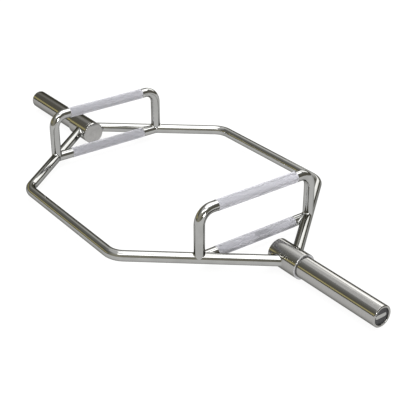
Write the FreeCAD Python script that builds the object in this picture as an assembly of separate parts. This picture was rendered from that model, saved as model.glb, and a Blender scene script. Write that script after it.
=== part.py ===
import FreeCAD, Part
import math
import os

Vector = FreeCAD.Vector

# Overall sizes, in millimetres and degrees.
# X runs along the sleeves, Y along the hand grips, and the hubs stand on z = 0.
FRAME_WIDTH = 608.0         # between the centre lines of the two long sides
SIDE_LENGTH = 393.0         # a long side, corner to corner on its centre line
DIAGONAL_ANGLE = 50.0       # a diagonal's angle to the sleeve axis
CORNER_R = 51.0             # centre-line bend radius at the hexagon's corners
BAR_D = 25.4                # round bar of the hexagon

# Handles, two bent ones raised above two straight ones in the frame plane
HANDLE_SPACING = 637.0      # between the left and the right handles
HANDLE_RISE = 116.0         # raised handle's centre line above the frame plane
HANDLE_BEND_R = 33.5        # centre-line bend radius of a raised handle
HANDLE_STEP = 0.4           # how much thinner a handle is than the bar that it stands on
GRIP_MARGIN = 45.8          # from a foot's centre line to the knurl's end
KNURL_HEIGHT = 0.75         # how far the knurl stands proud of the handle
GRIP_EDGE = 0.6             # length of the slope at each end of the knurl

# Hubs
HUB_D = 60.0
HUB_LENGTH = 88.5           # from the end disc's inner face to the outer face
HUB_INSET = 57.0            # end disc's inner face, inward of where the diagonals' lines meet
HUB_CHAMFER = 1.5
END_DISC_T = 8.0            # disc that closes a hub's inner end
END_DISC_CHAMFER = 2.0
END_DISC_SPIGOT = 5.0       # spigot that centres the disc in the hub's bore

# Sleeves
SLEEVE_LENGTH = 228.5       # hub face to sleeve end, the length that takes plates
SLEEVE_D = 50.0
SLEEVE_CHAMFER = 1.5
SLEEVE_LIP_CHAMFER = 0.8    # inner edge of the open end
BUSHING_SEAT_D = 39.0       # bore at both ends of a sleeve
WAIST_BORE_D = 36.0         # bore between the two seats
SEAM_GAP = 0.6              # open seam between hub face and sleeve

# Spindles and what turns on them
SPINDLE_D = 30.0
SPINDLE_CHAMFER = 1.5
SPINDLE_DEPTH = 72.0        # length held in the hub
NOSE_D = 24.0               # turned-down end that carries the washer and the ring
NOSE_TAIL = 4.0             # nose length past the retaining ring
BUSHING_LENGTH = 40.0
BUSHING_CHAMFER = 1.0
FLANGE_D = 45.0             # flange of the inner bushing
FLANGE_T = 2.5
WASHER_D = 36.0
WASHER_T = 2.5
WASHER_SETBACK = 27.0       # from the sleeve's end back to the washer's outer face
RING_T = 1.2                # retaining ring
RING_GROOVE_DEPTH = 0.55
RING_WIDTH = 3.2            # radial width opposite the gap
RING_TIP_WIDTH = 2.2        # radial width beside the gap
RING_GAP = 5.0              # opening between the two lugs
RING_LUG_R = 2.4
RING_LUG_HOLE_D = 2.0

# End caps
CAP_RECESS = 3.0            # how deep the cap sits in the sleeve's end
CAP_T = 3.0
CAP_SKIRT = 6.0             # skirt length behind the cap's face
CAP_SKIRT_WALL = 2.5
CAP_RIM_WIDTH = 2.0         # raised rim round the cap's face
CAP_RIM_HEIGHT = 0.6

# Welds
WELD_R = 4.0                # fillet radius of the welds at the hubs
FOOT_WELD_R = 3.5           # fillet radius of the welds at the handles' feet
ROOT_GAP = 0.05             # root gap between a coped bar end and what it is welded to

# Fits, as radial or axial clearances
SEAT_GAP = 0.02             # pressed seats
RUN_GAP = 0.05              # bushing on spindle
AXIAL_PLAY = 0.2            # bushing against hub face and against washer

# Worked out from the sizes above
AXIS_Z = HUB_D / 2
CORNER_X = SIDE_LENGTH / 2
CORNER_Y = FRAME_WIDTH / 2
DIAGONAL_SLOPE = math.tan(math.radians(DIAGONAL_ANGLE))
APEX_X = CORNER_X + CORNER_Y / DIAGONAL_SLOPE
HUB_INNER_X = APEX_X - HUB_INSET
HUB_OUTER_X = HUB_INNER_X + HUB_LENGTH
SLEEVE_END_X = HUB_OUTER_X + SLEEVE_LENGTH
HANDLE_X = HANDLE_SPACING / 2
HANDLE_Y = (APEX_X - HANDLE_X) * DIAGONAL_SLOPE
HANDLE_Z = AXIS_Z + HANDLE_RISE
HANDLE_D = BAR_D - HANDLE_STEP
GRIP_HALF = HANDLE_Y - GRIP_MARGIN
SPINDLE_BORE_R = SPINDLE_D / 2 + RUN_GAP
BUSHING_R = BUSHING_SEAT_D / 2 - SEAT_GAP
FLANGE_X = HUB_OUTER_X + AXIAL_PLAY
SLEEVE_X = HUB_OUTER_X + SEAM_GAP
WASHER_OUTER_X = SLEEVE_END_X - WASHER_SETBACK
WASHER_INNER_X = WASHER_OUTER_X - WASHER_T
INNER_SEAT_X = FLANGE_X + FLANGE_T + BUSHING_LENGTH
OUTER_SEAT_X = WASHER_INNER_X - AXIAL_PLAY - BUSHING_LENGTH
CAP_X = SLEEVE_END_X - CAP_RECESS

UP = Vector(0, 0, 1)
ALONG_Y = Vector(0, 1, 0)
ORIGIN = Vector(0, 0, 0)
AXIS_POINT = Vector(0, 0, AXIS_Z)
SLEEVE_AXIS = Vector(1, 0, 0)
FRONT = -1
REAR = 1


def revolved(outline):
    """Turn an outline of (x, radius) points about the sleeve axis."""
    points = [Vector(x, 0, AXIS_Z + radius) for x, radius in outline]
    face = Part.Face(Part.makePolygon(points + points[:1]))
    return face.revolve(AXIS_POINT, SLEEVE_AXIS, 360)


def turned_round(shape):
    """The same piece at the other end of the object, half a turn about Z."""
    copy = shape.copy()
    copy.rotate(ORIGIN, UP, 180)
    return copy


def largest(shape):
    """The main solid of a cut, without offcuts."""
    return max(shape.Solids, key=lambda solid: solid.Volume)


def bent_bar(corners, bend_r, diameter):
    """Round bar along straight runs, with a tangent arc at each inner corner."""
    edges = []
    start = corners[0]
    for before, corner, after in zip(corners, corners[1:], corners[2:]):
        back = (before - corner).normalize()
        ahead = (after - corner).normalize()
        half = back.getAngle(ahead) / 2
        setback = bend_r / math.tan(half)
        middle = (back + ahead).normalize()
        inside = bend_r / math.sin(half) - bend_r
        bend_in = corner + back * setback
        bend_out = corner + ahead * setback
        edges.append(Part.makeLine(start, bend_in))
        edges.append(Part.Arc(bend_in, corner + middle * inside, bend_out).toShape())
        start = bend_out
    edges.append(Part.makeLine(start, corners[-1]))
    section = Part.makeCircle(diameter / 2, corners[0], corners[1] - corners[0])
    return Part.Wire(edges).makePipe(Part.Face(Part.Wire(section)))


def straight_bar(start, end, diameter):
    return Part.makeCylinder(diameter / 2, (end - start).Length, start, end - start)


def hub_envelope(margin):
    """A right hub's outer cylinder, grown by a margin."""
    radius = HUB_D / 2 + margin
    return Part.makeCylinder(radius, HUB_LENGTH, Vector(HUB_INNER_X, 0, AXIS_Z), SLEEVE_AXIS)


def diagonal(side, margin):
    """A right diagonal's straight run from the sleeve axis to the corner, grown by a margin."""
    apex = Vector(APEX_X, 0, AXIS_Z)
    corner = Vector(CORNER_X, side * CORNER_Y, AXIS_Z)
    return straight_bar(apex, corner, BAR_D + 2 * margin)


def frame_bar():
    """Front half of the hexagon: one bar, bent twice, its ends coped to the hubs."""
    corners = [
        Vector(-APEX_X, 0, AXIS_Z),
        Vector(-CORNER_X, -CORNER_Y, AXIS_Z),
        Vector(CORNER_X, -CORNER_Y, AXIS_Z),
        Vector(APEX_X, 0, AXIS_Z),
    ]
    right_hub = hub_envelope(ROOT_GAP)
    bar = bent_bar(corners, CORNER_R, BAR_D)
    return largest(bar.cut([right_hub, turned_round(right_hub)]))


def grip(height):
    """Knurled length of a right handle, as a plain band at the knurl's outer size."""
    inner = HANDLE_D / 2
    outer = inner + KNURL_HEIGHT
    outline = [
        (0, -GRIP_HALF), (inner, -GRIP_HALF), (outer, GRIP_EDGE - GRIP_HALF),
        (outer, GRIP_HALF - GRIP_EDGE), (inner, GRIP_HALF), (0, GRIP_HALF),
    ]
    points = [Vector(HANDLE_X + radius, y, height) for radius, y in outline]
    face = Part.Face(Part.makePolygon(points + points[:1]))
    return face.revolve(Vector(HANDLE_X, 0, height), ALONG_Y, 360)


def handle_foot(side, margin):
    """A straight end of a right raised handle, grown by a margin."""
    bottom = Vector(HANDLE_X, side * HANDLE_Y, AXIS_Z)
    top = Vector(HANDLE_X, side * HANDLE_Y, HANDLE_Z - HANDLE_BEND_R)
    return straight_bar(bottom, top, HANDLE_D + 2 * margin)


def raised_handle():
    """Right raised handle: one bar bent into a U, its feet coped to the diagonals."""
    corners = [
        Vector(HANDLE_X, -HANDLE_Y, AXIS_Z),
        Vector(HANDLE_X, -HANDLE_Y, HANDLE_Z),
        Vector(HANDLE_X, HANDLE_Y, HANDLE_Z),
        Vector(HANDLE_X, HANDLE_Y, AXIS_Z),
    ]
    bar = bent_bar(corners, HANDLE_BEND_R, HANDLE_D).fuse(grip(HANDLE_Z))
    return largest(bar.cut([diagonal(FRONT, ROOT_GAP), diagonal(REAR, ROOT_GAP)]))


def handle_rail(margin):
    """A right lower handle's full straight run, grown by a margin."""
    start = Vector(HANDLE_X, -HANDLE_Y, AXIS_Z)
    end = Vector(HANDLE_X, HANDLE_Y, AXIS_Z)
    return straight_bar(start, end, HANDLE_D + 2 * margin)


def lower_handle():
    """Right lower handle: a straight bar coped to the diagonals and to the feet above it."""
    bar = handle_rail(0).fuse(grip(AXIS_Z))
    members = [make(side, ROOT_GAP) for make in (diagonal, handle_foot) for side in (FRONT, REAR)]
    return largest(bar.cut(members))


def fillet_weld(members, grown_members, radius):
    """Fillet in the corners between joined members, kept apart from the members."""
    joined = members[0].fuse(members[1:])
    straight_or_round = ("Part::GeomLine", "Part::GeomCircle")
    seams = [edge for edge in joined.Edges if edge.Curve.TypeId not in straight_or_round]
    filled = joined.makeFillet(radius, seams)
    return largest(filled.cut(grown_members))


def hub_weld():
    """Front right weld that holds a diagonal to its hub."""
    members = [diagonal(FRONT, 0), hub_envelope(0)]
    grown_members = [diagonal(FRONT, ROOT_GAP), hub_envelope(ROOT_GAP)]
    return fillet_weld(members, grown_members, WELD_R)


def foot_weld():
    """Front right three-way weld between a diagonal, a raised handle's foot and a lower handle."""
    foot = Vector(HANDLE_X, FRONT * HANDLE_Y, AXIS_Z)
    middle = Vector(HANDLE_X, 0, AXIS_Z)
    rail = straight_bar(foot, middle, HANDLE_D)
    members = [diagonal(FRONT, 0), handle_foot(FRONT, 0), rail]
    grown_members = [diagonal(FRONT, ROOT_GAP), handle_foot(FRONT, ROOT_GAP), handle_rail(ROOT_GAP)]
    return fillet_weld(members, grown_members, FOOT_WELD_R)


def hub():
    """Right hub: a bored round with the spindle's seat right through it."""
    inner_x = HUB_INNER_X + END_DISC_T
    outer = HUB_D / 2
    bore = SPINDLE_D / 2 + SEAT_GAP
    return revolved([
        (inner_x, bore), (inner_x, outer), (HUB_OUTER_X - HUB_CHAMFER, outer),
        (HUB_OUTER_X, outer - HUB_CHAMFER), (HUB_OUTER_X, bore),
    ])


def hub_end_disc():
    """Disc welded flush on a right hub's inner end, centred by a spigot in the bore."""
    seat_x = HUB_INNER_X + END_DISC_T
    outer = HUB_D / 2
    return revolved([
        (HUB_INNER_X, 0), (HUB_INNER_X, outer - END_DISC_CHAMFER),
        (HUB_INNER_X + END_DISC_CHAMFER, outer), (seat_x, outer),
        (seat_x, SPINDLE_D / 2), (seat_x + END_DISC_SPIGOT, SPINDLE_D / 2),
        (seat_x + END_DISC_SPIGOT, 0),
    ])


def spindle():
    """Right spindle: held in the hub, with a turned-down and grooved nose."""
    radius = SPINDLE_D / 2
    nose = NOSE_D / 2
    groove = nose - RING_GROOVE_DEPTH
    start = HUB_OUTER_X - SPINDLE_DEPTH
    groove_end = WASHER_OUTER_X + RING_T + 2 * SEAT_GAP
    end = groove_end + NOSE_TAIL
    return revolved([
        (start, 0), (start, radius - SPINDLE_CHAMFER), (start + SPINDLE_CHAMFER, radius),
        (WASHER_INNER_X, radius), (WASHER_INNER_X, nose),
        (WASHER_OUTER_X, nose), (WASHER_OUTER_X, groove),
        (groove_end, groove), (groove_end, nose),
        (end - SPINDLE_CHAMFER, nose), (end, nose - SPINDLE_CHAMFER), (end, 0),
    ])


def sleeve():
    """Right sleeve: a tube with a bushing seat at each end and an open lip round the cap."""
    outer = SLEEVE_D / 2
    seat = BUSHING_SEAT_D / 2
    waist = WAIST_BORE_D / 2
    flange_r = FLANGE_D / 2 + SEAT_GAP
    flange_x = FLANGE_X + FLANGE_T
    return revolved([
        (SLEEVE_X, flange_r), (SLEEVE_X, outer),
        (SLEEVE_END_X - SLEEVE_CHAMFER, outer), (SLEEVE_END_X, outer - SLEEVE_CHAMFER),
        (SLEEVE_END_X, seat + SLEEVE_LIP_CHAMFER), (SLEEVE_END_X - SLEEVE_LIP_CHAMFER, seat),
        (OUTER_SEAT_X, seat), (OUTER_SEAT_X, waist), (INNER_SEAT_X, waist),
        (INNER_SEAT_X, seat), (flange_x, seat), (flange_x, flange_r),
    ])


def inner_bushing():
    """Flanged bushing at the hub end, whose flange takes the thrust on the hub face."""
    body_x = FLANGE_X + FLANGE_T
    return revolved([
        (FLANGE_X, SPINDLE_BORE_R), (FLANGE_X, FLANGE_D / 2), (body_x, FLANGE_D / 2),
        (body_x, BUSHING_R), (INNER_SEAT_X - BUSHING_CHAMFER, BUSHING_R),
        (INNER_SEAT_X, BUSHING_R - BUSHING_CHAMFER), (INNER_SEAT_X, SPINDLE_BORE_R),
    ])


def outer_bushing():
    """Plain bushing at the open end, between the sleeve's shoulder and the washer."""
    end = OUTER_SEAT_X + BUSHING_LENGTH
    return revolved([
        (OUTER_SEAT_X, SPINDLE_BORE_R), (OUTER_SEAT_X, BUSHING_R - BUSHING_CHAMFER),
        (OUTER_SEAT_X + BUSHING_CHAMFER, BUSHING_R), (end, BUSHING_R), (end, SPINDLE_BORE_R),
    ])


def thrust_washer():
    """Washer against the spindle's shoulder that keeps the sleeve on."""
    bore = NOSE_D / 2 + SEAT_GAP
    return revolved([
        (WASHER_INNER_X, bore), (WASHER_INNER_X, WASHER_D / 2),
        (WASHER_OUTER_X, WASHER_D / 2), (WASHER_OUTER_X, bore),
    ])


def retaining_ring():
    """Open spring ring in the nose's groove, tapered towards two lugs with plier holes."""
    start_x = WASHER_OUTER_X + SEAT_GAP
    inner = NOSE_D / 2 - RING_GROOVE_DEPTH + SEAT_GAP
    outer = inner + (RING_WIDTH + RING_TIP_WIDTH) / 2
    drop = (RING_WIDTH - RING_TIP_WIDTH) / 2
    lug_r = inner + RING_LUG_R
    lug_angle = math.asin((RING_GAP / 2 + RING_LUG_R) / lug_r)

    def disc(radius, y, z):
        return Part.makeCylinder(radius, RING_T, Vector(start_x, y, AXIS_Z + z), SLEEVE_AXIS)

    ring = disc(outer, 0, -drop)
    holes = [disc(inner, 0, 0)]
    for side in (FRONT, REAR):
        y = side * lug_r * math.sin(lug_angle)
        z = lug_r * math.cos(lug_angle)
        ring = ring.fuse(disc(RING_LUG_R, y, z))
        holes.append(disc(RING_LUG_HOLE_D / 2, y, z))
    gap_corner = Vector(start_x, -RING_GAP / 2, AXIS_Z)
    holes.append(Part.makeBox(RING_T, RING_GAP, outer + 2 * RING_LUG_R, gap_corner))
    return largest(ring.cut(holes).removeSplitter())


def end_cap():
    """Cap pressed into a right sleeve's end, with a raised rim and a hollow skirt."""
    outer = BUSHING_SEAT_D / 2 - SEAT_GAP
    skirt = outer - CAP_SKIRT_WALL
    back = CAP_X - CAP_T
    face = CAP_X - CAP_RIM_HEIGHT
    rim = outer - CAP_RIM_WIDTH
    return revolved([
        (back, 0), (back, skirt), (back - CAP_SKIRT, skirt), (back - CAP_SKIRT, outer),
        (CAP_X, outer), (CAP_X, rim), (face, rim - CAP_RIM_HEIGHT), (face, 0),
    ])


RIGHT_PIECES = {
    "raised_handle": raised_handle,
    "lower_handle": lower_handle,
    "hub": hub,
    "hub_end_disc": hub_end_disc,
    "spindle": spindle,
    "sleeve": sleeve,
    "inner_bushing": inner_bushing,
    "outer_bushing": outer_bushing,
    "thrust_washer": thrust_washer,
    "retaining_ring": retaining_ring,
    "end_cap": end_cap,
}

FRONT_RIGHT_WELDS = {
    "hub_weld": hub_weld,
    "foot_weld": foot_weld,
}


def build():
    front = frame_bar()
    nodes = {
        "front_frame_bar": front,
        "rear_frame_bar": turned_round(front),
    }
    for name, make in FRONT_RIGHT_WELDS.items():
        weld = make()
        behind = weld.mirror(ORIGIN, ALONG_Y)
        nodes["front_right_" + name] = weld
        nodes["rear_right_" + name] = behind
        nodes["rear_left_" + name] = turned_round(weld)
        nodes["front_left_" + name] = turned_round(behind)
    for name, make in RIGHT_PIECES.items():
        piece = make()
        nodes["right_" + name] = piece
        nodes["left_" + name] = turned_round(piece)
    return nodes


os.makedirs("parts", exist_ok=True)
for node, shape in build().items():
    shape.exportStep("parts/%s.step" % node)
    print("%-26s solids %d  volume %.1f mm3" % (node, len(shape.Solids), shape.Volume))
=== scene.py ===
import math

import bmesh
import bpy
from mathutils import Matrix, Vector


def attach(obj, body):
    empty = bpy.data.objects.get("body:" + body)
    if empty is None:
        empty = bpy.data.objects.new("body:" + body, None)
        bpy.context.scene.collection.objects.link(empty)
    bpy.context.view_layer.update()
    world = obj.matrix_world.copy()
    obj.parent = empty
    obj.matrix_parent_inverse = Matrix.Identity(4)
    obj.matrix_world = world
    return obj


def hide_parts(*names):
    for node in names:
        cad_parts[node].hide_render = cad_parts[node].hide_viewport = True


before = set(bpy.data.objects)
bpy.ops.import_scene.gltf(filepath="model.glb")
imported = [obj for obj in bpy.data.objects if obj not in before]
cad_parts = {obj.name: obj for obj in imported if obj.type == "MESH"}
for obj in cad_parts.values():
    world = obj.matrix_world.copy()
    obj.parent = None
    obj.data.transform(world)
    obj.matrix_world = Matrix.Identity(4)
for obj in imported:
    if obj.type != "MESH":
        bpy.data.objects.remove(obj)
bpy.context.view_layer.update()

# Sizes of the bar in metres and degrees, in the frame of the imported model
FRAME_WIDTH = 0.608
SIDE_LENGTH = 0.393
DIAGONAL_ANGLE = 50.0
CORNER_R = 0.051
BAR_R = 0.0127
HANDLE_SPACING = 0.637
HANDLE_RISE = 0.116
HANDLE_BEND_R = 0.0335
HANDLE_R = 0.0125
GRIP_MARGIN = 0.0458
KNURL_HEIGHT = 0.00075
KNURL_DEPTH = 0.0005          # from the knurl's points down to its grooves
KNURL_PITCH = 0.0007          # between rows along the grip
HUB_R = 0.030
HUB_LENGTH = 0.0885
HUB_INSET = 0.057
HUB_CHAMFER = 0.0015
END_DISC_T = 0.008
END_DISC_CHAMFER = 0.002
END_DISC_SPIGOT = 0.005
SLEEVE_LENGTH = 0.2285
SLEEVE_R = 0.025
SLEEVE_CHAMFER = 0.0015
SLEEVE_LIP_CHAMFER = 0.0008
SEAM_GAP = 0.0006
BUSHING_SEAT_R = 0.0195
WAIST_BORE_R = 0.018
BUSHING_LENGTH = 0.040
FLANGE_R = 0.0225
FLANGE_T = 0.0025
WASHER_T = 0.0025
WASHER_SETBACK = 0.027
AXIAL_PLAY = 0.0002
SPINDLE_R = 0.015
FIT_GAP = 0.00002
CAP_RECESS = 0.003
CAP_T = 0.003
CAP_SKIRT = 0.006
CAP_SKIRT_WALL = 0.0025
CAP_RIM_WIDTH = 0.002
CAP_RIM_HEIGHT = 0.0006
BAND_HEIGHT = 0.009           # plain pale band across an end cap
BAND_LENGTH = 0.030
BAND_T = 0.0004
BAND_ROUND = BAND_T / 3

# Worked out from the sizes above
AXIS_Z = HUB_R
CORNER_X = SIDE_LENGTH / 2
CORNER_Y = FRAME_WIDTH / 2
DIAGONAL_SLOPE = math.tan(math.radians(DIAGONAL_ANGLE))
APEX_X = CORNER_X + CORNER_Y / DIAGONAL_SLOPE
HUB_INNER_X = APEX_X - HUB_INSET
HUB_OUTER_X = HUB_INNER_X + HUB_LENGTH
SLEEVE_X = HUB_OUTER_X + SEAM_GAP
SLEEVE_END_X = HUB_OUTER_X + SLEEVE_LENGTH
HANDLE_X = HANDLE_SPACING / 2
HANDLE_Y = (APEX_X - HANDLE_X) * DIAGONAL_SLOPE
HANDLE_Z = AXIS_Z + HANDLE_RISE
GRIP_HALF = HANDLE_Y - GRIP_MARGIN
KNURL_R = HANDLE_R + KNURL_HEIGHT
CAP_X = SLEEVE_END_X - CAP_RECESS

X = Vector((1, 0, 0))
Y = Vector((0, 1, 0))
UP = Vector((0, 0, 1))
HALF_TURN = Matrix.Rotation(math.pi, 4, "Z")

# Mesh fineness
BAR_SIDES = 84
HANDLE_SIDES = 132            # even, so that the knurl's diamonds close round the handle
LATHE_SIDES = 144
BEND_STEPS = 24
SHARP_ANGLE = math.radians(28)
EDGE_ROUND = 0.0003
EDGE_SEGMENTS = 3
BAND_STEPS = 16
BAND_SEGMENTS = 2
KNURL_MARK = "knurl_height"    # 0 in the knurl's grooves, 1 on its points
BAKE_MAP = "OFBake"           # UV map laid round and along the bars for their textures
MAP_MARGIN = 0.01

# Camera, found by fitting the bar's edges in the photograph
CAMERA_PLACE = Vector((1.7191, -1.1921, 1.1017))
CAMERA_TARGET = Vector((0.1471, -0.0062, 0.030))
CAMERA_ROLL = math.radians(0.21)
CAMERA_LENS = 81.04
SENSOR = 36.0


def add_node(tree, kind, inputs=None, **settings):
    """A shader node with its settings and unlinked input values."""
    made = tree.nodes.new(kind)
    for key, value in settings.items():
        setattr(made, key, value)
    for key, value in (inputs or {}).items():
        made.inputs[key].default_value = value
    return made


def new_material(name):
    """A node material with its tree and its main shader."""
    material = bpy.data.materials.new(name)
    material.use_nodes = True
    tree = material.node_tree
    return material, tree, tree.nodes["Principled BSDF"]


def object_place(tree, stretch=(1, 1, 1)):
    """Object coordinates in metres, stretched along each axis."""
    place = add_node(tree, "ShaderNodeTexCoord")
    mapping = add_node(tree, "ShaderNodeMapping", {"Scale": stretch})
    tree.links.new(place.outputs["Object"], mapping.inputs["Vector"])
    return mapping.outputs["Vector"]


def noise(tree, grain, stretch=(1, 1, 1)):
    """Noise of a (scale, detail) grain over the object."""
    scale, detail = grain
    made = add_node(tree, "ShaderNodeTexNoise", {"Scale": scale, "Detail": detail})
    tree.links.new(object_place(tree, stretch), made.inputs["Vector"])
    return made.outputs["Fac"]


def ramp(tree, factor, stops):
    """Colour ramp through (place, colour) stops."""
    made = add_node(tree, "ShaderNodeValToRGB")
    elements = made.color_ramp.elements
    while len(elements) < len(stops):
        elements.new(1.0)
    for element, (place, colour) in zip(elements, stops):
        element.position = place
        element.color = (*colour, 1)
    tree.links.new(factor, made.inputs["Fac"])
    return made.outputs["Color"]


def in_range(tree, factor, low, high):
    """A factor from 0 to 1, brought between two values."""
    made = add_node(tree, "ShaderNodeMapRange", {"To Min": low, "To Max": high})
    tree.links.new(factor, made.inputs["Value"])
    return made.outputs["Result"]


def bump(tree, principled, height, strength, depth):
    """Gives a shader a slightly uneven surface."""
    made = add_node(tree, "ShaderNodeBump", {"Strength": strength, "Distance": depth})
    tree.links.new(height, made.inputs["Height"])
    tree.links.new(made.outputs["Normal"], principled.inputs["Normal"])


def shades(colour, stops):
    """Ramp stops of one colour, from (place, share of the colour) pairs."""
    return [(place, tuple(channel * share for channel in colour)) for place, share in stops]


# Looks of the surfaces: grains are (scale, detail), stops are (place, share of the colour)
EDGE_TINT = (0.30, 0.30, 0.29, 1)    # metal seen edge on stays dark
CLOUDS = (38.0, 4.0)
CLOUD_STOPS = ((0.3, 0.94), (0.7, 1.05))
POLISH_LINES = (260.0, 5.0)
PLATE_PORES = (700.0, 2.0)
PLATE_BUMP = 0.02
RINGS = (90.0, 6.0)
RING_STRETCH = (40, 1, 1)
RING_STOPS = ((0.35, 0.93), (0.65, 1.05))
RING_BUMP = 0.03
SCUFFS = (60.0, 5.0)
SCUFF_STRETCH = (3, 1, 1)
KNURL_TINT = (0.60, 0.60, 0.62, 1)
KNURL_STOPS = ((0.0, 0.8), (0.7, 1.0), (1.0, 1.12))
KNURL_GRAIN = (900.0, 3.0)
KNURL_ROUGHNESS = (0.5, 0.65)
KNURL_BUMP = 0.15
METAL_BUMP_DEPTH = 0.0002
PLASTIC_SHINE = 0.38
PLASTIC_GRAIN = (1500.0, 3.0)
PLASTIC_STOPS = ((0.35, 0.7), (0.7, 1.5))
PLASTIC_ROUGHNESS = (0.4, 0.6)
PLASTIC_BUMP = 0.4
PLASTIC_BUMP_DEPTH = 0.0003


def metal(name, edge_tint):
    """A metal material whose edges take a tint."""
    material, tree, principled = new_material(name)
    principled.inputs["Metallic"].default_value = 1.0
    principled.inputs["Specular Tint"].default_value = edge_tint
    return material, tree, principled


def plated(name, colour, smooth, dull, stretch):
    """Plated steel: faint clouding, fine polishing lines and a slightly uneven surface."""
    material, tree, principled = metal(name, EDGE_TINT)
    clouded = ramp(tree, noise(tree, CLOUDS), shades(colour, CLOUD_STOPS))
    tree.links.new(clouded, principled.inputs["Base Color"])
    lines = noise(tree, POLISH_LINES, stretch)
    tree.links.new(in_range(tree, lines, smooth, dull), principled.inputs["Roughness"])
    bump(tree, principled, noise(tree, PLATE_PORES), PLATE_BUMP, METAL_BUMP_DEPTH)
    return material


def knurled(name, colour):
    """Knurled steel, bright on the points and darker in the grooves."""
    material, tree, principled = metal(name, KNURL_TINT)
    height = add_node(tree, "ShaderNodeAttribute", attribute_name=KNURL_MARK)
    shaded = ramp(tree, height.outputs["Fac"], shades(colour, KNURL_STOPS))
    tree.links.new(shaded, principled.inputs["Base Color"])
    grain = noise(tree, KNURL_GRAIN)
    tree.links.new(in_range(tree, grain, *KNURL_ROUGHNESS), principled.inputs["Roughness"])
    bump(tree, principled, grain, KNURL_BUMP, METAL_BUMP_DEPTH)
    return material


def turned(name, colour, smooth, dull):
    """Turned and plated steel with fine rings round the sleeve axis."""
    material, tree, principled = metal(name, EDGE_TINT)
    rings = noise(tree, RINGS, RING_STRETCH)
    tree.links.new(ramp(tree, rings, shades(colour, RING_STOPS)), principled.inputs["Base Color"])
    scuffs = noise(tree, SCUFFS, SCUFF_STRETCH)
    tree.links.new(in_range(tree, scuffs, smooth, dull), principled.inputs["Roughness"])
    bump(tree, principled, rings, RING_BUMP, METAL_BUMP_DEPTH)
    return material


def moulded_plastic(name, colour):
    """Black plastic with a fine moulded grain."""
    material, tree, principled = new_material(name)
    principled.inputs["Specular IOR Level"].default_value = PLASTIC_SHINE
    grain = noise(tree, PLASTIC_GRAIN)
    tree.links.new(ramp(tree, grain, shades(colour, PLASTIC_STOPS)), principled.inputs["Base Color"])
    tree.links.new(in_range(tree, grain, *PLASTIC_ROUGHNESS), principled.inputs["Roughness"])
    bump(tree, principled, grain, PLASTIC_BUMP, PLASTIC_BUMP_DEPTH)
    return material


CHROME = (0.36, 0.36, 0.35)
SLEEVE_STEEL = (0.35, 0.345, 0.335)
GRIP_STEEL = (0.57, 0.57, 0.605)
FACED_STEEL = (0.50, 0.50, 0.51)
GROUND_STEEL = (0.52, 0.52, 0.51)
SPRING_STEEL = (0.10, 0.10, 0.11)
BRONZE = (0.60, 0.36, 0.15)
CAP_BLACK = (0.018, 0.018, 0.020)
BAND_GREY = (0.42, 0.42, 0.41)

frame_chrome = plated("frame_chrome_plate", CHROME, smooth=0.05, dull=0.11, stretch=(1, 1, 12))
handle_chrome = plated("handle_chrome_plate", CHROME, smooth=0.05, dull=0.11, stretch=(12, 1, 1))
weld_chrome = plated("weld_chrome_plate", CHROME, smooth=0.10, dull=0.20, stretch=(1, 1, 1))
grip_steel = knurled("grip_knurl", GRIP_STEEL)
hub_steel = turned("hub_turned_plate", SLEEVE_STEEL, smooth=0.09, dull=0.16)
faced_steel = turned("hub_faced_steel", FACED_STEEL, smooth=0.30, dull=0.40)
sleeve_steel = turned("sleeve_turned_plate", SLEEVE_STEEL, smooth=0.07, dull=0.14)
ground_steel = turned("ground_steel_bright", GROUND_STEEL, smooth=0.15, dull=0.25)
spring_steel = turned("spring_steel_black", SPRING_STEEL, smooth=0.25, dull=0.40)
bronze = turned("oil_bronze", BRONZE, smooth=0.25, dull=0.38)
cap_plastic = moulded_plastic("cap_black_plastic", CAP_BLACK)
band_satin = turned("cap_band_satin", BAND_GREY, smooth=0.30, dull=0.42)


def new_piece(name, vertices, faces, materials, spots=()):
    """A mesh object with outward faces, smooth apart from its sharp edges, and a map if it has spots."""
    mesh = bpy.data.meshes.new(name)
    mesh.from_pydata(vertices, [], faces)
    if spots:
        layer = mesh.uv_layers.new(name=BAKE_MAP)
        layer.uv.foreach_set("vector", [share for spot in spots for share in spot])
    work = bmesh.new()
    work.from_mesh(mesh)
    bmesh.ops.recalc_face_normals(work, faces=work.faces)
    work.to_mesh(mesh)
    work.free()
    for material in materials:
        mesh.materials.append(material)
    mesh.polygons.foreach_set("use_smooth", [True] * len(mesh.polygons))
    mesh.set_sharp_from_angle(angle=SHARP_ANGLE)
    piece = bpy.data.objects.new(name, mesh)
    bpy.context.scene.collection.objects.link(piece)
    return piece


def stand_for(piece, node, body):
    """The piece takes a CAD node's place on its body."""
    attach(piece, body)
    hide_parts(node)


def turned_round(piece, name):
    """A copy at the other end of the object, half a turn about Z."""
    copy = piece.copy()
    copy.data = piece.data.copy()
    copy.name = copy.data.name = name
    copy.data.transform(HALF_TURN)
    bpy.context.scene.collection.objects.link(copy)
    return copy


def stations_along(corners, bend_r):
    """Points and headings along straight runs, with a round bend at each inner corner."""
    stations = [(corners[0], (corners[1] - corners[0]).normalized())]
    for before, corner, after in zip(corners, corners[1:], corners[2:]):
        into = (corner - before).normalized()
        out = (after - corner).normalized()
        turn = into.angle(out)
        axis = into.cross(out).normalized()
        inward = axis.cross(into) * bend_r
        centre = corner - into * bend_r * math.tan(turn / 2) + inward
        for step in range(BEND_STEPS + 1):
            rotation = Matrix.Rotation(turn * step / BEND_STEPS, 3, axis)
            stations.append((centre - rotation @ inward, rotation @ into))
    stations.append((corners[-1], (corners[-1] - corners[-2]).normalized()))
    return stations


def ring(station, normal, radii):
    """One vertex for each side of the bar, round a station of a path square to the normal."""
    point, heading = station
    across = heading.cross(normal)
    turns = [2 * math.pi * side / len(radii) for side in range(len(radii))]
    return [
        point + (across * math.cos(turn) + normal * math.sin(turn)) * radius
        for turn, radius in zip(turns, radii)
    ]


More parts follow.
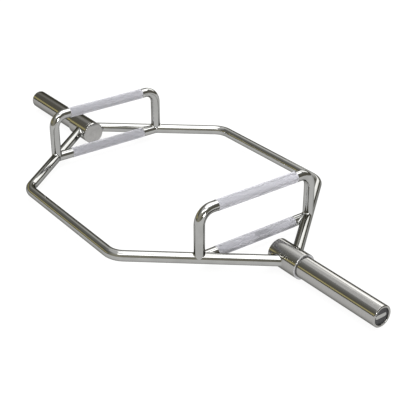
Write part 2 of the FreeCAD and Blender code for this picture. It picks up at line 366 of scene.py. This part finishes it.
def slid_out(point, outward, axis_point, axis, radius):
    """The point, moved outward until it leaves a cylinder."""
    offset = point - axis_point
    start = offset - axis * offset.dot(axis)
    step = outward - axis * outward.dot(axis)
    square = step.length_squared
    half = start.dot(step)
    rest = start.length_squared - radius ** 2
    return point + outward * ((math.sqrt(half ** 2 - square * rest) - half) / square)


def coped(vertices, outward, axis_point, axis, radius):
    """A bar's end ring, cut to the round surface that it is welded to."""
    return [slid_out(vertex, outward, axis_point, axis, radius) for vertex in vertices]


def lengths_along(middles):
    """Each ring's place on the map, by its length along the bar, with a margin for the bar's ends."""
    lengths = [0.0]
    for here, there in zip(middles, middles[1:]):
        lengths.append(lengths[-1] + (there - here).length)
    return [MAP_MARGIN + (1 - 2 * MAP_MARGIN) * length / lengths[-1] for length in lengths]


def bar_piece(name, rings, materials):
    """A closed bar through rings with equal numbers of sides, mapped round and along."""
    sides = len(rings[0])
    last = len(rings) - 1
    vertices = [vertex for one in rings for vertex in one]
    middles = [sum(one, Vector()) / sides for one in rings]
    along = lengths_along(middles)
    faces = []
    spots = []
    for side in range(sides):
        after = (side + 1) % sides
        left, right = side / sides, (side + 1) / sides
        for row in range(last):
            low, high = row * sides, (row + 1) * sides
            faces.append((low + side, low + after, high + after, high + side))
            bottom, top = along[row], along[row + 1]
            spots += [(left, bottom), (right, bottom), (right, top), (left, top)]
        for row, tip, edge in ((0, len(vertices), 0), (last, len(vertices) + 1, 1)):
            faces.append((row * sides + side, row * sides + after, tip))
            spots += [(left, along[row]), (right, along[row]), ((left + right) / 2, edge)]
    vertices += [middles[0], middles[last]]
    return new_piece(name, vertices, faces, materials, spots)


def diagonal_axis(side):
    """Direction of a right diagonal, from its corner to the hub, on the front (-1) or rear (1)."""
    return Vector((CORNER_X - APEX_X, side * CORNER_Y, 0)).normalized()


def frame_bar():
    """Front half of the hexagon: one bar, bent twice, coped to both hubs."""
    corners = [
        Vector((-APEX_X, 0, AXIS_Z)),
        Vector((-CORNER_X, -CORNER_Y, AXIS_Z)),
        Vector((CORNER_X, -CORNER_Y, AXIS_Z)),
        Vector((APEX_X, 0, AXIS_Z)),
    ]
    stations = stations_along(corners, CORNER_R)
    rings = [ring(station, UP, [BAR_R] * BAR_SIDES) for station in stations]
    hub_axis_point = Vector((0, 0, AXIS_Z))
    rings[0] = coped(rings[0], stations[0][1], hub_axis_point, X, HUB_R)
    rings[-1] = coped(rings[-1], -stations[-1][1], hub_axis_point, X, HUB_R)
    return bar_piece("fine_front_frame_bar", rings, [frame_chrome])


def knurl_rows(height, normal):
    """Rings of a right grip whose points stand out in turn, so that four slopes meet at each."""
    count = 2 * round(GRIP_HALF / KNURL_PITCH)
    rows = []
    for row in range(1, count):
        y = -GRIP_HALF + 2 * GRIP_HALF * row / count
        radii = [KNURL_R - KNURL_DEPTH * ((row + side) % 2) for side in range(HANDLE_SIDES)]
        rows.append(ring((Vector((HANDLE_X, y, height)), Y), normal, radii))
    return rows


def knurl_diamonds(piece):
    """Splits the knurl's faces along its grooves, shades them flat and marks the points."""
    mesh = piece.data
    marks = mesh.attributes.new(KNURL_MARK, "FLOAT", "POINT")
    middle = Vector((HANDLE_X, 0, 0))
    on_grip = set()
    for vertex in mesh.vertices:
        if abs(vertex.co.y) < GRIP_HALF - KNURL_PITCH / 4:
            height = HANDLE_Z if vertex.co.z > (HANDLE_Z + AXIS_Z) / 2 else AXIS_Z
            reach = (vertex.co - middle - UP * height - Y * vertex.co.y).length
            marks.data[vertex.index].value = 1 - (KNURL_R - reach) / KNURL_DEPTH
            on_grip.add(vertex.index)
    work = bmesh.new()
    work.from_mesh(mesh)
    layer = work.verts.layers.float[KNURL_MARK]
    for face in list(work.faces):
        if len(face.verts) == 4 and any(vertex.index in on_grip for vertex in face.verts):
            low = [vertex for vertex in face.verts if vertex[layer] < 0.5]
            face.material_index = 1
            face.smooth = False
            if len(low) == 2:
                bmesh.utils.face_split(face, low[0], low[1])
    work.to_mesh(mesh)
    work.free()


def raised_handle():
    """Right raised handle: a bar bent into a U, knurled along its top."""
    corners = [
        Vector((HANDLE_X, -HANDLE_Y, AXIS_Z)),
        Vector((HANDLE_X, -HANDLE_Y, HANDLE_Z)),
        Vector((HANDLE_X, HANDLE_Y, HANDLE_Z)),
        Vector((HANDLE_X, HANDLE_Y, AXIS_Z)),
    ]
    stations = stations_along(corners, HANDLE_BEND_R)
    half = len(stations) // 2
    ends = [(Vector((HANDLE_X, side * GRIP_HALF, HANDLE_Z)), Y) for side in (-1, 1)]
    plain = [HANDLE_R] * HANDLE_SIDES
    rings = [ring(station, X, plain) for station in stations[:half] + ends[:1]]
    rings += knurl_rows(HANDLE_Z, X)
    rings += [ring(station, X, plain) for station in ends[1:] + stations[half:]]
    rings[0] = coped(rings[0], UP, corners[0], diagonal_axis(-1), BAR_R)
    rings[-1] = coped(rings[-1], UP, corners[-1], diagonal_axis(1), BAR_R)
    piece = bar_piece("fine_right_raised_handle", rings, [handle_chrome, grip_steel])
    knurl_diamonds(piece)
    return piece


def lower_handle():
    """Right lower handle: a straight bar, knurled between its plain ends."""
    feet = [Vector((HANDLE_X, side * HANDLE_Y, AXIS_Z)) for side in (-1, 1)]
    ends = [Vector((HANDLE_X, side * GRIP_HALF, AXIS_Z)) for side in (-1, 1)]
    plain = [HANDLE_R] * HANDLE_SIDES
    rings = [ring((point, Y), X, plain) for point in (feet[0], ends[0])]
    rings += knurl_rows(AXIS_Z, X)
    rings += [ring((point, Y), X, plain) for point in (ends[1], feet[1])]
    rings[0] = coped(rings[0], Y, feet[0], diagonal_axis(-1), BAR_R)
    rings[-1] = coped(rings[-1], -Y, feet[1], diagonal_axis(1), BAR_R)
    piece = bar_piece("fine_right_lower_handle", rings, [handle_chrome, grip_steel])
    knurl_diamonds(piece)
    return piece


def lathe(name, outline, material, round_width):
    """A closed outline of (x, radius) points turned about the sleeve axis, its edges rounded."""
    vertices = []
    loops = []
    for x, radius in outline:
        first = len(vertices)
        sides = LATHE_SIDES if radius > 0 else 1
        for side in range(sides):
            turn = 2 * math.pi * side / sides
            vertices.append(Vector((x, radius * math.cos(turn), AXIS_Z + radius * math.sin(turn))))
        loops.append([first + side % sides for side in range(LATHE_SIDES + 1)])
    faces = []
    for here, there in zip(loops, loops[1:] + loops[:1]):
        for side in range(LATHE_SIDES):
            corners = (here[side], here[side + 1], there[side + 1], there[side])
            face = tuple(dict.fromkeys(corners))
            if len(face) > 2:
                faces.append(face)
    piece = new_piece(name, vertices, faces, [material])
    rounding = piece.modifiers.new("rounded_edges", "BEVEL")
    rounding.width = round_width
    rounding.segments = EDGE_SEGMENTS
    rounding.limit_method = "ANGLE"
    rounding.angle_limit = SHARP_ANGLE
    rounding.harden_normals = True
    return piece


def hub():
    """Right hub: a bored round whose outer face is left as turned."""
    inner_x = HUB_INNER_X + END_DISC_T
    bore = SPINDLE_R + FIT_GAP
    piece = lathe("fine_right_hub", [
        (inner_x, bore), (inner_x, HUB_R), (HUB_OUTER_X - HUB_CHAMFER, HUB_R),
        (HUB_OUTER_X, HUB_R - HUB_CHAMFER), (HUB_OUTER_X, bore),
    ], hub_steel, EDGE_ROUND)
    piece.data.materials.append(faced_steel)
    for face in piece.data.polygons:
        if face.center.x > HUB_OUTER_X - HUB_CHAMFER:
            face.material_index = 1
    return piece


def hub_end_disc():
    """Right hub's inner disc, with a bevelled edge and a spigot in the hub's bore."""
    seat_x = HUB_INNER_X + END_DISC_T
    spigot_x = seat_x + END_DISC_SPIGOT
    return lathe("fine_right_hub_end_disc", [
        (HUB_INNER_X, 0), (HUB_INNER_X, HUB_R - END_DISC_CHAMFER),
        (HUB_INNER_X + END_DISC_CHAMFER, HUB_R), (seat_x, HUB_R),
        (seat_x, SPINDLE_R), (spigot_x, SPINDLE_R), (spigot_x, 0),
    ], hub_steel, EDGE_ROUND)


def sleeve():
    """Right sleeve: a tube with an open, eased lip round the cap."""
    flange_x = HUB_OUTER_X + AXIAL_PLAY + FLANGE_T
    inner_seat_x = flange_x + BUSHING_LENGTH
    outer_seat_x = SLEEVE_END_X - WASHER_SETBACK - WASHER_T - AXIAL_PLAY - BUSHING_LENGTH
    flange_r = FLANGE_R + FIT_GAP
    return lathe("fine_right_sleeve", [
        (SLEEVE_X, flange_r), (SLEEVE_X, SLEEVE_R),
        (SLEEVE_END_X - SLEEVE_CHAMFER, SLEEVE_R), (SLEEVE_END_X, SLEEVE_R - SLEEVE_CHAMFER),
        (SLEEVE_END_X, BUSHING_SEAT_R + SLEEVE_LIP_CHAMFER),
        (SLEEVE_END_X - SLEEVE_LIP_CHAMFER, BUSHING_SEAT_R),
        (outer_seat_x, BUSHING_SEAT_R), (outer_seat_x, WAIST_BORE_R),
        (inner_seat_x, WAIST_BORE_R), (inner_seat_x, BUSHING_SEAT_R),
        (flange_x, BUSHING_SEAT_R), (flange_x, flange_r),
    ], sleeve_steel, EDGE_ROUND)


def end_cap():
    """Right end cap: a rimmed disc with a hollow skirt behind it."""
    outer = BUSHING_SEAT_R - FIT_GAP
    skirt = outer - CAP_SKIRT_WALL
    back = CAP_X - CAP_T
    face = CAP_X - CAP_RIM_HEIGHT
    rim = outer - CAP_RIM_WIDTH
    return lathe("fine_right_end_cap", [
        (back, 0), (back, skirt), (back - CAP_SKIRT, skirt), (back - CAP_SKIRT, outer),
        (CAP_X, outer), (CAP_X, rim), (face, rim - CAP_RIM_HEIGHT), (face, 0),
    ], cap_plastic, EDGE_ROUND)


def cap_band():
    """Plain pale band set across a right end cap, with round ends."""
    end_r = BAND_HEIGHT / 2
    reach = BAND_LENGTH / 2 - end_r
    outline = []
    for side in (1, -1):
        for step in range(BAND_STEPS + 1):
            turn = side * math.pi / 2 - math.pi * step / BAND_STEPS
            outline.append((side * reach + end_r * math.cos(turn), end_r * math.sin(turn)))
    back = CAP_X - CAP_RIM_HEIGHT - BAND_T
    front = CAP_X - CAP_RIM_HEIGHT + BAND_T
    count = len(outline)
    vertices = [Vector((x, y, AXIS_Z + z)) for x in (back, front) for y, z in outline]
    faces = [tuple(range(count)), tuple(range(count, 2 * count))]
    for side in range(count):
        after = (side + 1) % count
        faces.append((side, after, count + after, count + side))
    piece = new_piece("right_cap_band", vertices, faces, [band_satin])
    rounding = piece.modifiers.new("rounded_edges", "BEVEL")
    rounding.width = BAND_ROUND
    rounding.segments = BAND_SEGMENTS
    rounding.limit_method = "ANGLE"
    return piece


front_bar = frame_bar()
stand_for(front_bar, "front_frame_bar", "frame")
rear_bar = turned_round(front_bar, "fine_rear_frame_bar")
stand_for(rear_bar, "rear_frame_bar", "frame")

ON_FRAME = {
    "raised_handle": (raised_handle, "handle_chrome"),
    "lower_handle": (lower_handle, "handle_chrome"),
    "hub": (hub, "frame_chrome"),
    "hub_end_disc": (hub_end_disc, "frame_chrome"),
}
ON_SLEEVES = {
    "sleeve": (sleeve, "sleeve_chrome"),
    "end_cap": (end_cap, "cap_plastic"),
}
for group, bodies in (
    (ON_FRAME, {"right": "frame", "left": "frame"}),
    (ON_SLEEVES, {"right": "right_sleeve_assembly", "left": "left_sleeve_assembly"}),
):
    for name, (make, slot) in group.items():
        right = make()
        left = turned_round(right, "fine_left_" + name)
        stand_for(right, "right_" + name, bodies["right"])
        stand_for(left, "left_" + name, bodies["left"])

right_band = cap_band()
left_band = turned_round(right_band, "left_cap_band")
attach(right_band, "right_sleeve_assembly")
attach(left_band, "left_sleeve_assembly")

# CAD nodes that keep their own shape
NODE_MATERIALS = {
    "hub_weld": weld_chrome,
    "foot_weld": weld_chrome,
    "spindle": ground_steel,
    "thrust_washer": ground_steel,
    "retaining_ring": spring_steel,
    "inner_bushing": bronze,
    "outer_bushing": bronze,
}
for name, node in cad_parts.items():
    for ending, material in NODE_MATERIALS.items():
        if name.endswith(ending):
            node.material_slots[0].material = material

# Studio: a pale floor, four softboxes, and a ring of dark screens with painted light on them, with a warm
# strip low in front of it
WHITE = (1, 1, 1, 1)
FLOOR_HALF = 20.0
FLOOR_DROP = 0.0002
FLOOR_GLOW = 0.92             # near the bar, where light and shadow are added to it
FLOOR_NEAR = 3.0
FLOOR_FAR = 8.0
FLOOR_MATT = (0.8, 0.8, 0.8, 1)
FLOOR_SHADE = (0.10, 0.10, 0.10, 1)
CEILING_Z = 8.0
CEILING_X_SIZE = 8.4
CEILING_Y = 2.5
CEILING_Y_SIZE = 9.0
CEILING_RADIANCE = 2.8
BACK_AZIMUTH = math.radians(111)
BACK_DISTANCE = 7.4
BACK_Z = 4.7
BACK_WIDTH = 7.6
BACK_HEIGHT = 5.0
BACK_RADIANCE = 1.95
FRONT_AZIMUTH = math.radians(-45)
FRONT_DISTANCE = 4.9
FRONT_Z = 7.4
FRONT_WIDTH = 7.0
FRONT_HEIGHT = 2.4
FRONT_RADIANCE = 3.0
SIDE_AZIMUTH = math.radians(-9)
SIDE_DISTANCE = 5.0
SIDE_Z = 0.9
SIDE_SIZE = 0.8
SIDE_RADIANCE = 40.0
SCREEN_R = 8.0
SCREEN_HEIGHT = 10.4
SCREEN_STEPS = 96
# Screen glow by height: dark olive cloth, with painted light making it paler towards the top
CLOTH_PAINTED_LIGHT_STOPS = (
    (0.0, (0.20, 0.19, 0.15)), (0.39, (0.22, 0.21, 0.17)),
    (0.62, (0.27, 0.27, 0.25)), (1.0, (0.45, 0.45, 0.44)),
)
# Side of the screens made brighter by painted light
PAINTED_LIGHT_AZIMUTH = math.radians(-72)
PAINTED_LIGHT_GAIN = 2.6
# Painted spill light on the screens beside the back softbox
PAINTED_SPILL_STOPS = ((0.30, (0, 0, 0)), (0.52, (0.75, 0.75, 0.75)), (0.78, (1.3, 1.3, 1.3)))
PAINTED_SPILL_AZIMUTH = math.radians(140)
SIDE_SPREAD = 0.75            # cosine of the angle at which a side of painted light ends
STRIP_R = 7.9
STRIP_LOW = 1.3
STRIP_HIGH = 2.6
STRIP_AZIMUTHS = (math.radians(-190), math.radians(-112))
STRIP_COLOUR = (0.90, 0.80, 0.38, 1)


def toward(azimuth):
    """Level direction, turned from +X towards +Y."""
    return Vector((math.cos(azimuth), math.sin(azimuth), 0))


def stage_object(name, vertices, faces, material):
    """A piece of the studio, which isn't part of the bar."""
    mesh = bpy.data.meshes.new(name)
    mesh.from_pydata(vertices, [], faces)
    mesh.materials.append(material)
    made = bpy.data.objects.new(name, mesh)
    bpy.context.scene.collection.objects.link(made)
    return made


def surface_material(name, make_surface):
    """A material whose surface is the shader that a function makes in its tree."""
    material = bpy.data.materials.new(name)
    material.use_nodes = True
    tree = material.node_tree
    tree.nodes.clear()
    output = add_node(tree, "ShaderNodeOutputMaterial")
    tree.links.new(make_surface(tree), output.inputs["Surface"])
    return material


def floor_surface(tree):
    """Matt white floor that the camera and the metal both see as white, with a faint shadow."""
    matt = add_node(tree, "ShaderNodeBsdfDiffuse", {"Color": FLOOR_MATT})
    faint = add_node(tree, "ShaderNodeBsdfDiffuse", {"Color": FLOOR_SHADE})
    glow = add_node(tree, "ShaderNodeEmission", {"Color": WHITE})
    place = add_node(tree, "ShaderNodeTexCoord")
    reach = add_node(tree, "ShaderNodeVectorMath", operation="LENGTH")
    tree.links.new(place.outputs["Object"], reach.inputs[0])
    level = add_node(tree, "ShaderNodeMapRange", {
        "From Min": FLOOR_NEAR, "From Max": FLOOR_FAR, "To Min": FLOOR_GLOW, "To Max": 1.0,
    })
    tree.links.new(reach.outputs["Value"], level.inputs["Value"])
    tree.links.new(level.outputs["Result"], glow.inputs["Strength"])
    shown = add_node(tree, "ShaderNodeAddShader")
    tree.links.new(faint.outputs[0], shown.inputs[0])
    tree.links.new(glow.outputs[0], shown.inputs[1])
    path = add_node(tree, "ShaderNodeLightPath")
    seen = path.outputs["Is Camera Ray"]
    for ray in ("Is Glossy Ray", "Is Transmission Ray"):
        either = add_node(tree, "ShaderNodeMath", operation="MAXIMUM")
        tree.links.new(seen, either.inputs[0])
        tree.links.new(path.outputs[ray], either.inputs[1])
        seen = either.outputs[0]
    mix = add_node(tree, "ShaderNodeMixShader")
    tree.links.new(seen, mix.inputs[0])
    tree.links.new(matt.outputs[0], mix.inputs[1])
    tree.links.new(shown.outputs[0], mix.inputs[2])
    return mix.outputs[0]


def screen_surface(tree):
    """Dark olive cloth that glows, with painted light making it paler towards the top and on one side, and
    painted spill light beside the back softbox.
    """
    place = add_node(tree, "ShaderNodeTexCoord")
    split = add_node(tree, "ShaderNodeSeparateXYZ")
    tree.links.new(place.outputs["Object"], split.inputs[0])
    share = add_node(tree, "ShaderNodeMapRange", {"From Max": SCREEN_HEIGHT})
    tree.links.new(split.outputs["Z"], share.inputs["Value"])
    both = add_node(tree, "ShaderNodeAddShader")
    # Two glows: the cloth with its painted light, and the painted spill light
    tones = ((CLOTH_PAINTED_LIGHT_STOPS, PAINTED_LIGHT_AZIMUTH, 1.0, PAINTED_LIGHT_GAIN), (PAINTED_SPILL_STOPS, PAINTED_SPILL_AZIMUTH, 0.0, 1.0))
    for (stops, azimuth, far, near), socket in zip(tones, both.inputs):
        along = add_node(tree, "ShaderNodeVectorMath", {1: toward(azimuth)}, operation="DOT_PRODUCT")
        tree.links.new(place.outputs["Object"], along.inputs[0])
        level = add_node(tree, "ShaderNodeMapRange", {
            "From Min": SIDE_SPREAD * SCREEN_R, "From Max": SCREEN_R, "To Min": far, "To Max": near,
        })
        tree.links.new(along.outputs["Value"], level.inputs["Value"])
        glow = add_node(tree, "ShaderNodeEmission")
        tree.links.new(ramp(tree, share.outputs["Result"], stops), glow.inputs["Color"])
        tree.links.new(level.outputs["Result"], glow.inputs["Strength"])
        tree.links.new(glow.outputs[0], socket)
    return both.outputs[0]


def strip_surface(tree):
    """Warm line of light."""
    return add_node(tree, "ShaderNodeEmission", {"Color": STRIP_COLOUR, "Strength": 1.0}).outputs[0]


def area_lamp(name, place, target, size, radiance, shape):
    """Softbox of a given size and brightness that faces a target."""
    width, height = size
    lamp = bpy.data.lights.new(name, "AREA")
    lamp.shape = shape
    lamp.size = width
    lamp.size_y = height
    area = width * height * (math.pi / 4 if shape == "ELLIPSE" else 1)
    lamp.energy = 4 * radiance * area
    made = bpy.data.objects.new(name, lamp)
    made.location = place
    made.rotation_mode = "QUATERNION"
    made.rotation_quaternion = (target - place).to_track_quat("-Z", "Y")
    bpy.context.scene.collection.objects.link(made)


def curved_screen(name, radius, heights, azimuths, material):
    """Upright curved card that the metal reflects and the camera looks past."""
    start, end = azimuths
    vertices = []
    for height in heights:
        for step in range(SCREEN_STEPS + 1):
            turn = start + (end - start) * step / SCREEN_STEPS
            vertices.append(toward(turn) * radius + UP * height)
    upper = SCREEN_STEPS + 1
    faces = [(step, step + 1, upper + step + 1, upper + step) for step in range(SCREEN_STEPS)]
    screen = stage_object(name, vertices, faces, material)
    screen.visible_camera = False


def studio():
    """Floor, screens, lamps and world round the bar."""
    reach = FLOOR_HALF
    floor_corners = [(-reach, -reach, 0), (reach, -reach, 0), (reach, reach, 0), (-reach, reach, 0)]
    floor_white = surface_material("studio_floor", floor_surface)
    floor = stage_object("studio_floor", floor_corners, [(0, 1, 2, 3)], floor_white)
    floor.location.z = -FLOOR_DROP

    cloth = surface_material("studio_screen", screen_surface)
    curved_screen("studio_screen", SCREEN_R, (0, SCREEN_HEIGHT), (0, 2 * math.pi), cloth)
    warm = surface_material("studio_strip", strip_surface)
    curved_screen("studio_strip", STRIP_R, (STRIP_LOW, STRIP_HIGH), STRIP_AZIMUTHS, warm)

    below = Y * CEILING_Y
    size = (CEILING_X_SIZE, CEILING_Y_SIZE)
    area_lamp("overhead_softbox", below + UP * CEILING_Z, below, size, CEILING_RADIANCE, "ELLIPSE")
    place = toward(BACK_AZIMUTH) * BACK_DISTANCE + UP * BACK_Z
    size = (BACK_WIDTH, BACK_HEIGHT)
    area_lamp("back_softbox", place, UP * BACK_Z, size, BACK_RADIANCE, "RECTANGLE")
    place = toward(FRONT_AZIMUTH) * FRONT_DISTANCE + UP * FRONT_Z
    size = (FRONT_WIDTH, FRONT_HEIGHT)
    area_lamp("front_softbox", place, Vector(), size, FRONT_RADIANCE, "RECTANGLE")
    place = toward(SIDE_AZIMUTH) * SIDE_DISTANCE + UP * SIDE_Z
    size = (SIDE_SIZE, SIDE_SIZE)
    area_lamp("side_softbox", place, UP * AXIS_Z, size, SIDE_RADIANCE, "RECTANGLE")

    world = bpy.data.worlds.new("studio_world")
    bpy.context.scene.world = world
    world.use_nodes = True
    background = world.node_tree.nodes["Background"]
    background.inputs["Color"].default_value = WHITE
    background.inputs["Strength"].default_value = 1.0


def camera():
    """The view of the photograph."""
    data = bpy.data.cameras.new("camera")
    data.sensor_width = SENSOR
    data.lens = CAMERA_LENS
    made = bpy.data.objects.new("camera", data)
    made.location = CAMERA_PLACE
    made.rotation_mode = "QUATERNION"
    level = (CAMERA_TARGET - CAMERA_PLACE).to_track_quat("-Z", "Y")
    made.rotation_quaternion = level @ Matrix.Rotation(CAMERA_ROLL, 3, "Z").to_quaternion()
    bpy.context.scene.collection.objects.link(made)
    bpy.context.scene.camera = made


studio()
camera()
bpy.context.scene.view_settings.view_transform = "Standard"
